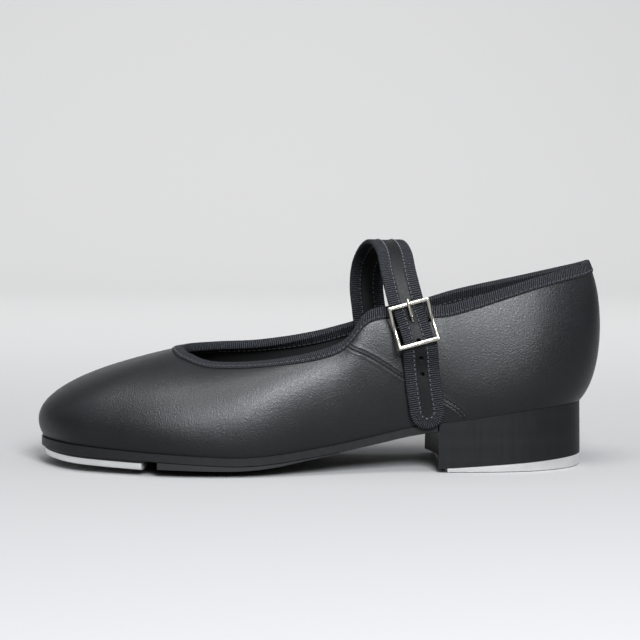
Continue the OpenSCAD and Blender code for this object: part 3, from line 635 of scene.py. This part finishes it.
def soft_form(u, v):
    """Slight unevenness of real lasted leather."""
    return (0.10 * np.sin(2.1 * u + 4 * v) * np.sin(5.3 * v + 0.4 * u)
            + 0.06 * np.sin(4.7 * u - 3 * v)) * np.sin(np.pi * np.clip(v, 0, 1)) ** 2


NEAR = np.array([0, 0.12, 0.24, 0.36, 0.48, 0.6, 0.74, 0.88, 1.02, 1.2, 1.45, 1.8, 2.3, 3.0])
LEATHER_V = np.concatenate([[0], np.linspace(0.006, 0.03, 3), np.linspace(0.05, 0.985, 64),
                            [1.0]])


def leather_grid(first, last, count):
    """Columns from one edge to the other; an edge that is a seam gets close columns.
    first and last are a station, 'lateral' or 'medial'."""
    v = LEATHER_V

    def place(edge):
        if edge == "lateral":
            return seam(v)
        if edge == "medial":
            return ROUND - seam(v)
        return np.full_like(v, edge)

    a, b = place(first), place(last)
    columns, lifts = [], []
    reach_a = seam_reach(1 if first == "lateral" else -1, v) if isinstance(first, str) else None
    reach_b = seam_reach(1 if last == "lateral" else -1, v) if isinstance(last, str) else None
    start, stop = a, b
    if reach_a is not None:
        for d in NEAR:
            columns.append(a + d * reach_a)
            lifts.append(np.full_like(v, seam_lift(d)))
        start = columns[-1]
    tail, tail_lifts = [], []
    if reach_b is not None:
        for d in NEAR[::-1]:
            tail.append(b - d * reach_b)
            tail_lifts.append(np.full_like(v, seam_lift(d)))
        stop = tail[0]
    inner = np.linspace(0, 1, count)
    inner = inner[(1 if columns else 0):(-1 if tail else None)]
    for f in inner:
        columns.append(start * (1 - f) + stop * f)
        lifts.append(np.zeros_like(v))
    columns += tail
    lifts += tail_lifts
    u = np.array(columns)
    vv = np.broadcast_to(v, u.shape)
    fade = smooth(vv / 0.03) * (1 - smooth((vv - 0.93) / 0.05))
    return u, vv, np.array(lifts) * fade + soft_form(u, vv)


def leather_piece(name, first, last, count, nodes):
    u, v, t = leather_grid(first, last, count)
    t = np.minimum(t, 0.42)
    outer = wall(u, v, t)
    foot = feather(u[:, 0])
    back = -outward(u[:, 0])
    inner_edge = wall(u[:, -1:], 1.0, -LEATHER_T)
    turned = (foot + back * 3)[:, None]
    points = np.concatenate([turned, outer, inner_edge], axis=1)
    along = lengths(points, 0).mean(axis=1, keepdims=True) * np.ones(points.shape[:2])
    up = lengths(points, 1)
    faces = grid_faces(*points.shape[:2], flip=True)
    return make_object(name, points, faces, LEATHER, np.stack([along, up], -1),
                       sharp=60, replaces=nodes)


leather_piece("vamp_leather", "lateral", "medial", 260,
              ["vamp", "toe_puff", "vamp_interlining"])
leather_piece("quarter_leather_lateral", 0, "lateral", 90,
              ["quarter_lateral", "heel_counter", "quarter_interlining"])
leather_piece("quarter_leather_medial", "medial", ROUND, 90, ["quarter_medial"])


def seam_stitches():
    parts = []
    for side in (1, -1):
        for off in (-STITCH_OFF, STITCH_OFF):
            v = np.linspace(0.035, 0.925, 260)
            u = seam_at(side, v) + off * seam_reach(side, v)
            line = wall(u, v, -0.2)
            parts.append(stitches(line, wall_normal(u, v), 1.9, 1.45, 0.2))
    points, faces = join_parts(parts)
    make_object("side_seam_stitching", points, faces, DARK_THREAD)


seam_stitches()


# ---------------------------------------------------------------- linings and sock
def lining_piece(name, first, last, count, node):
    v = np.linspace(0.03, 1, 40)
    f = np.linspace(0, 1, count)[:, None]
    a = seam(v) if first == "lateral" else -seam(v)
    b = ROUND - seam(v) if last == "medial" else seam(v)
    u = a * (1 - f) + b * f
    v = np.broadcast_to(v, u.shape)
    crease = 0.10 * np.sin(3.1 * u + 2 * v) * np.sin(np.pi * v)
    inner = wall(u, v, -LINING_IN + crease)
    outer = wall(u, v, -LINING_OUT)
    points = np.concatenate([inner, outer[:, ::-1]], axis=1)
    n, m = points.shape[:2]
    faces = grid_faces(n, m, close_m=True).tolist() + end_caps(n, m)
    uv = np.stack([lengths(points, 0).mean(axis=1, keepdims=True) * np.ones((n, m)),
                   lengths(points, 1)], -1)
    obj = make_object(name, points, faces, LINING, uv, sharp=50,
                      replaces=[node])
    fix_normals(obj)
    return obj


lining_piece("forepart_lining", "lateral", "medial", 150, "vamp_lining")
lining_piece("heel_lining", "medial", "lateral", 110, "quarter_lining")


def slab_places(first, last, n):
    return first + (last - first) * (1 - np.cos(np.pi * np.arange(n + 1) / n)) / 2


SOCK_INSET = 3.1
SOCK_LOW = 3.3
SOCK_HIGH = 4.9


def sock_piece():
    """Firm sock lining: a thin sheet, a little crowned, with rounded edges."""
    u = slab_places(TOE - 0.06, 0.06, 90)
    across = np.sin(np.linspace(-1, 1, 33) * np.pi / 2)
    low, high = SOCK_LOW, SOCK_HIGH
    medial, lateral = rim(ROUND - u, SOCK_INSET), rim(u, SOCK_INSET)
    f = (across + 1) / 2
    middle = medial[:, None] * (1 - f[None, :, None]) + lateral[:, None] * f[None, :, None]
    crown = 0.25 * (1 - across ** 2)[None, :]
    edge = smooth((1 - np.abs(across)) / 0.05)[None, :]
    top = middle + UP * (low + (high - low) * (0.45 + 0.55 * edge) + crown * 0.6)[..., None]
    bottom = middle + UP * low
    points = np.concatenate([top, bottom[:, ::-1]], axis=1)
    n, k = points.shape[:2]
    faces = grid_faces(n, k, close_m=True).tolist() + end_caps(n, k)
    obj = make_object("sock", points, faces, SOCK, sharp=60,
                      replaces=["sock_liner"])
    fix_normals(obj)


sock_piece()


# ---------------------------------------------------------------- topline binding
BINDING_W = 5.0
# Share of the width down from the edge, and how far the outer face bulges there
BINDING_SHAPE = ((1.0, -0.22), (0.97, 0.02), (0.85, 0.10), (0.65, 0.05), (0.45, 0.10),
                 (0.25, 0.08), (0.08, 0.04))
FOLD_RISE = 0.62


def lip(u, width):
    h = row(u)[..., 8:10]
    return width / (3 * np.linalg.norm(h, axis=-1))


def topline_binding():
    """Grosgrain folded over the top edge: an outer face, a rounded fold, an inner face."""
    u = np.linspace(0, ROUND, 560, endpoint=False)
    d = lip(u, BINDING_W)
    p = profile(u)
    rise = unit(p[3] - p[2])
    top_out = wall(u, 1.0, GAP + TAPE_T)
    top_in = wall(u, 1.0, -LINING_IN - GAP - TAPE_T)
    middle, half = (top_out + top_in) / 2, (top_out - top_in) / 2
    sections = []
    for f, puff in BINDING_SHAPE:
        sections.append(wall(u, 1 - d * f, GAP + TAPE_T + puff))
    for a in np.linspace(0, 180, 9):
        c, s = math.cos(math.radians(a)), math.sin(math.radians(a))
        sections.append(middle + half * c + rise * (FOLD_RISE * s))
    for f, puff in BINDING_SHAPE[::-1]:
        sections.append(wall(u, 1 - d * f, -LINING_IN - GAP - TAPE_T - puff))
    points = np.stack(sections, 1)
    n, m = points.shape[:2]
    x = lengths(np.concatenate([top_out, top_out[:1]]))[:-1, None] * np.ones((n, m))
    y = lengths(points, 1)
    seam_column = np.concatenate([points, points[:1]])
    uv = np.stack([x, y], -1)
    total = np.linalg.norm(top_out[0] - top_out[-1]) + x[-1, 0]
    whole = np.full((1, m), round(total / RIB_PITCH) * RIB_PITCH)
    uv = np.concatenate([uv, np.stack([whole, y[:1]], -1)])
    faces = grid_faces(n + 1, m)
    make_object("grosgrain_topline", seam_column, faces, TAPE, uv,
                sharp=80, replaces=["topline_binding"])
    parts = []
    closed = np.append(np.arange(0, ROUND, 0.02), ROUND)
    for side in (1, -1):
        t = GAP + TAPE_T + 0.1
        depth = t if side > 0 else -LINING_IN - t
        v = 1 - lip(closed, BINDING_W) * 0.78
        line = wall(closed, v, depth)
        parts.append(stitches(line, side * wall_normal(closed, v), 2.3, 1.6, 0.19))
    points, faces = join_parts(parts)
    make_object("topline_stitching", points, faces, DARK_THREAD)


topline_binding()

# ---------------------------------------------------------------- strap
TAPE_W = 5.5
# Share of the tape's width in from the edge, and its height off the strap's middle there
TAPE_SHAPE = ((1.0, 0.66), (0.985, 0.9), (0.85, 1.0), (0.6, 0.96), (0.35, 0.98), (0.15, 0.93))
HOLE_STEP = 7.6
HOLE_R = 1.0
HOLE_SIDES = 20
LAST_CREASE = 2.15      # hole steps from the bar to where it was last buckled
WAVE_FROM = 10.5        # the tail's waves start this far past the bar
WAVE_SHARE = 0.35


def crossing(obj):
    """Takes a strap piece off its rigid body, drops its body tag and bakes its place into the
    mesh.
    """
    obj.parent = None
    obj.matrix_parent_inverse = Matrix.Identity(4)
    obj.matrix_world = Matrix.Identity(4)
    if "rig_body" in obj:
        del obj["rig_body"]
    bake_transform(obj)
    return obj


def strap_stations():
    """Places along the strap, close together near the free end's joint and the tip."""
    return np.concatenate([np.linspace(0, BAR_AT - 12, 110, endpoint=False),
                           np.linspace(BAR_AT - 12, JOINT_AT - 4, 40, endpoint=False),
                           np.linspace(JOINT_AT - 4, JOINT_AT + 4, 24, endpoint=False),
                           np.linspace(JOINT_AT + 4, TIP - TIP_R, 50)])


def bent(a):
    """The strap's slight waves: a crease where it was last buckled."""
    crease = BAR_AT + LAST_CREASE * HOLE_STEP
    return 0.16 * np.sin((a - 4) / 9.0) - 0.35 * np.exp(-((a - crease) / 1.1) ** 2)


def tail_wave(a):
    """The waves that the tail really takes: none under the buckle."""
    return bent(a) * smooth((a - BAR_AT - WAVE_FROM) / 3) * WAVE_SHARE


def strap_band(name, low, high, crown, material, nodes, holes):
    """The leather or the lining between the tapes."""
    a = np.concatenate([strap_stations(),
                        TIP - TIP_R + (TIP_R - 0.4) * np.sin(np.linspace(0.08, 1.5, 14))])
    reach = np.sqrt(np.clip((TIP_R - 0.35) ** 2 - np.clip(a - TIP + TIP_R, 0, None) ** 2,
                            0.04, None))
    half = np.where(a <= TIP - TIP_R, half_at(a) - 0.35, reach)
    f = np.linspace(-1, 1, 25)
    x = half[:, None] * f[None, :]
    wave = tail_wave(a)[:, None]
    shape = crown * (1 - (x / 3.4) ** 2).clip(0, 1)
    outer = on_strap(a[:, None], x, high + np.maximum(shape, 0) + wave)
    inner = on_strap(a[:, None], x, low + np.minimum(shape, 0) + wave)
    points = np.concatenate([outer, inner[:, ::-1]], axis=1)
    n, m = points.shape[:2]
    faces = grid_faces(n, m, close_m=True).tolist() + end_caps(n, m)
    obj = make_object(name, points, faces, material, sharp=50, replaces=nodes)
    fix_normals(obj)
    cutters = []
    for k in holes:
        at = BAR_AT + k * HOLE_STEP
        p, q = on_strap(at, 0, -4.0), on_strap(at, 0, 4.0)
        axis = unit(q - p)
        side = unit(np.cross(axis, [0, 0, 1.0]))
        other = np.cross(axis, side)
        ring = [side * math.cos(t) + other * math.sin(t)
                for t in np.linspace(0, FULL_TURN, HOLE_SIDES, endpoint=False)]
        walls = [[i, (i + 1) % HOLE_SIDES, HOLE_SIDES + (i + 1) % HOLE_SIDES, HOLE_SIDES + i]
                 for i in range(HOLE_SIDES)]
        cutter = make_object("cutter", [end + HOLE_R * r for end in (p, q) for r in ring],
                             walls + end_caps(2, HOLE_SIDES), material, body=None)
        fix_normals(cutter)
        cutters.append(cutter)
        modifier = obj.modifiers.new("hole", "BOOLEAN")
        modifier.operation = "DIFFERENCE"
        modifier.solver = "EXACT"
        modifier.object = cutter
    apply_modifiers(obj)
    for cutter in cutters:
        bpy.data.objects.remove(cutter)
    return crossing(obj)


strap_band("strap_channel", 0.02, 0.66, 0.16, STRAP_LEATHER,
           ["strap_leather", "tail_leather"], (1, 2, 3))
strap_band("strap_backing", -0.62, -0.02, -0.12, LINING,
           ["strap_lining", "tail_lining"], (1, 2, 3))


def tape_path():
    """Round the strap's edge: along one side, round the tip and back along the other.
    Rows of place along, place across, inward direction (2) and half width."""
    down = strap_stations()
    rows = [[a, -half_at(a), 0, 1, half_at(a)] for a in down]
    for g in np.linspace(0, 180, 46)[1:-1]:
        c, s = math.cos(math.radians(g)), math.sin(math.radians(g))
        rows.append([TIP - TIP_R + TIP_R * s, -TIP_R * c, -s, c, TIP_R])
    rows += [[a, half_at(a), 0, -1, half_at(a)] for a in down[::-1]]
    return np.array(rows)


def tape_points(rows, inward, depth):
    """Points of the tape at a distance inward from the edge and at a depth."""
    a = rows[:, 0] + rows[:, 2] * inward
    x = rows[:, 1] + rows[:, 3] * inward
    wave = tail_wave(rows[:, 0])
    pressed = 0.85 + 0.15 * smooth((np.abs(rows[:, 0] - BAR_AT) - 11) / 3)
    return on_strap(a, x, depth * pressed + wave)


def strap_tape():
    rows = tape_path()
    w = TAPE_W * rows[:, 4] * 2 / STRAP_W
    sections = []
    for f, d in TAPE_SHAPE:
        sections.append(tape_points(rows, w * f, d))
    for g in np.linspace(75, -75, 7):
        c, s = math.cos(math.radians(g)), math.sin(math.radians(g))
        sections.append(tape_points(rows, 0.55 - 0.55 * c, 0.88 * s))
    for f, d in TAPE_SHAPE[::-1]:
        sections.append(tape_points(rows, w * f, -d))
    points = np.stack(sections, 1)
    n, m = points.shape[:2]
    edge = lengths(tape_points(rows, 1.2, 0.9))[:, None] * np.ones((n, m))
    uv = np.stack([edge, lengths(points, 1)], -1)
    faces = grid_faces(n, m).tolist()
    obj = make_object("strap_grosgrain", points, faces, TAPE, uv, sharp=80,
                      replaces=["strap_binding_front", "strap_binding_rear", "tail_binding"])
    crossing(obj)
    parts = []
    for side in (1, -1):
        line = tape_points(rows, w * 0.86, side * 1.0)
        above = tape_points(rows, w * 0.86, side * 1.5)
        step = np.linalg.norm(np.diff(line, axis=0), axis=1)
        good = np.concatenate([[True], step > 0.02])
        parts.append(stitches(line[good], unit(above - line)[good], 2.1, 1.25, 0.2))
    points, faces = join_parts(parts)
    crossing(make_object("strap_stitching", points, faces, THREAD))


strap_tape()


# ---------------------------------------------------------------- hard parts
def refined(node, name, material, angle=32, bevel=0.0, body="shoe"):
    """A smooth-shaded copy of a CAD node with softened edges, in place of the node."""
    source = NODES[node]
    mesh = source.data.copy()
    b = bmesh.new()
    b.from_mesh(mesh)
    bmesh.ops.remove_doubles(b, verts=b.verts, dist=2e-6)
    bmesh.ops.dissolve_degenerate(b, edges=b.edges, dist=1e-6)
    bmesh.ops.recalc_face_normals(b, faces=b.faces)
    b.to_mesh(mesh)
    b.free()
    while mesh.uv_layers:
        mesh.uv_layers.remove(mesh.uv_layers[0])
    if "custom_normal" in mesh.attributes:
        mesh.attributes.remove(mesh.attributes["custom_normal"])
    mesh.polygons.foreach_set("use_smooth", [True] * len(mesh.polygons))
    mesh.materials.clear()
    mesh.materials.append(material)
    mesh.set_sharp_from_angle(angle=math.radians(angle))
    obj = bpy.data.objects.new(name, mesh)
    bpy.context.scene.collection.objects.link(obj)
    if bevel:
        modifier = obj.modifiers.new("edge", "BEVEL")
        modifier.width = bevel * MM
        modifier.segments = 2
        modifier.limit_method = "ANGLE"
        modifier.angle_limit = math.radians(angle + 6)
        modifier.harden_normals = False
        modifier.use_clamp_overlap = True
        apply_modifiers(obj)
        obj.data.polygons.foreach_set("use_smooth", [True] * len(obj.data.polygons))
        obj.data.set_sharp_from_angle(angle=math.radians(angle + 25))
    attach(obj, body)
    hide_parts(node)
    return obj


refined("outsole", "sole", SOLE, angle=36)
refined("tap_board", "tap_board_layer", TAP_BOARD, angle=36)
refined("toe_tap", "toe_tap_plate", TAP_METAL, angle=36)
refined("heel_tap", "heel_tap_plate", TAP_METAL, angle=36)
refined("heel_block", "heel", HEEL, angle=36)
refined("forepart_patch", "rubber_patch", RUBBER, angle=40)
refined("toe_tap_screws", "toe_screws", SCREW_METAL, angle=30, bevel=0.06)
refined("heel_tap_screws", "heel_screws", SCREW_METAL, angle=30, bevel=0.06)
refined("chape", "buckle_tab", STRAP_LEATHER, angle=30, bevel=0.12)
refined("buckle_frame", "buckle", NICKEL, angle=50, body="buckle")
refined("buckle_bar", "centre_bar", NICKEL, angle=50, body="buckle")
refined("prong", "buckle_prong", NICKEL, angle=50, body="prong")

INNER = {"insole_board": BOARD, "shank": SHANK_METAL, "bottom_filler": CORK,
         "heel_nails": SCREW_METAL, "toe_puff": STIFFENER, "heel_counter": STIFFENER,
         "vamp_interlining": COTTON, "quarter_interlining": COTTON}
for node_name, material in INNER.items():
    NODES[node_name].data.materials.clear()
    NODES[node_name].data.materials.append(material)


# ---------------------------------------------------------------- floor and light
FLOOR_FRONT = -3.0      # the sweep's own sizes are in metres
BEND_AT = 0.9
BEND_R = 0.9
BEND_STEPS = 24
WALL_TOP = 3.4
SWEEP_HALF = 3.5


def make_stage():
    """A pale sweep: floor in front, a wide curve and a wall behind."""
    material = bpy.data.materials.new("sweep")
    material.use_nodes = True
    bsdf = material.node_tree.nodes["Principled BSDF"]
    bsdf.inputs["Base Color"].default_value = (0.236, 0.2345, 0.2330, 1)
    bsdf.inputs["Roughness"].default_value = 0.9
    bsdf.inputs["Specular IOR Level"].default_value = 0.1
    line = [(FLOOR_FRONT, 0.0), (BEND_AT, 0.0)]
    for k in range(1, BEND_STEPS + 1):
        a = math.pi / 2 * k / BEND_STEPS
        line.append((BEND_AT + BEND_R * math.sin(a), BEND_R - BEND_R * math.cos(a)))
    line.append((BEND_AT + BEND_R, WALL_TOP))
    points = [(x, y, z) for y, z in line for x in (-SWEEP_HALF, SWEEP_HALF)]
    faces = [(2 * i, 2 * i + 1, 2 * i + 3, 2 * i + 2) for i in range(len(line) - 1)]
    mesh = bpy.data.meshes.new("sweep")
    mesh.from_pydata(points, [], faces)
    mesh.polygons.foreach_set("use_smooth", [True] * len(mesh.polygons))
    mesh.materials.append(material)
    obj = bpy.data.objects.new("sweep", mesh)
    bpy.context.scene.collection.objects.link(obj)


make_stage()


def softbox(name, place, target, size, power, tint=(1, 1, 1)):
    data = bpy.data.lights.new(name, "AREA")
    data.shape = "RECTANGLE"
    data.size, data.size_y = size
    data.energy = power
    data.color = tint
    obj = bpy.data.objects.new(name, data)
    obj.location = place
    direction = Vector(target) - Vector(place)
    obj.rotation_mode = "QUATERNION"
    obj.rotation_quaternion = direction.to_track_quat("-Z", "Y")
    bpy.context.scene.collection.objects.link(obj)


softbox("key", (0.185, -1.05, 0.79), (0.01, 0.0, 0.05), (0.42, 0.54), 42,
        (0.93, 0.97, 1.0))
softbox("top", (-0.12, -0.36, 1.25), (-0.02, 0.0, 0.04), (0.6, 0.45), 13)
softbox("rear_wash", (0.0, 0.35, 0.95), (0.0, 1.7, 0.5), (2.4, 0.4), 49)


def make_world():
    """A dim room, lighter overhead than at the sides."""
    world = bpy.data.worlds.new("studio")
    world.use_nodes = True
    tree = world.node_tree
    background = tree.nodes["Background"]
    background.inputs["Color"].default_value = (0.93, 0.95, 1.0, 1)
    direction = tree.nodes.new("ShaderNodeTexCoord")
    split = tree.nodes.new("ShaderNodeSeparateXYZ")
    level = tree.nodes.new("ShaderNodeMapRange")
    level.interpolation_type = "SMOOTHSTEP"
    for name, value in (("From Min", -0.1), ("From Max", 0.9), ("To Min", 0.06),
                        ("To Max", 1.2)):
        level.inputs[name].default_value = value
    tree.links.new(direction.outputs["Generated"], split.inputs["Vector"])
    tree.links.new(split.outputs["Z"], level.inputs["Value"])
    tree.links.new(level.outputs["Result"], background.inputs["Strength"])
    return world


world = make_world()
bpy.context.scene.world = world
bpy.context.scene.view_settings.view_transform = "Standard"

bpy.context.view_layer.update()
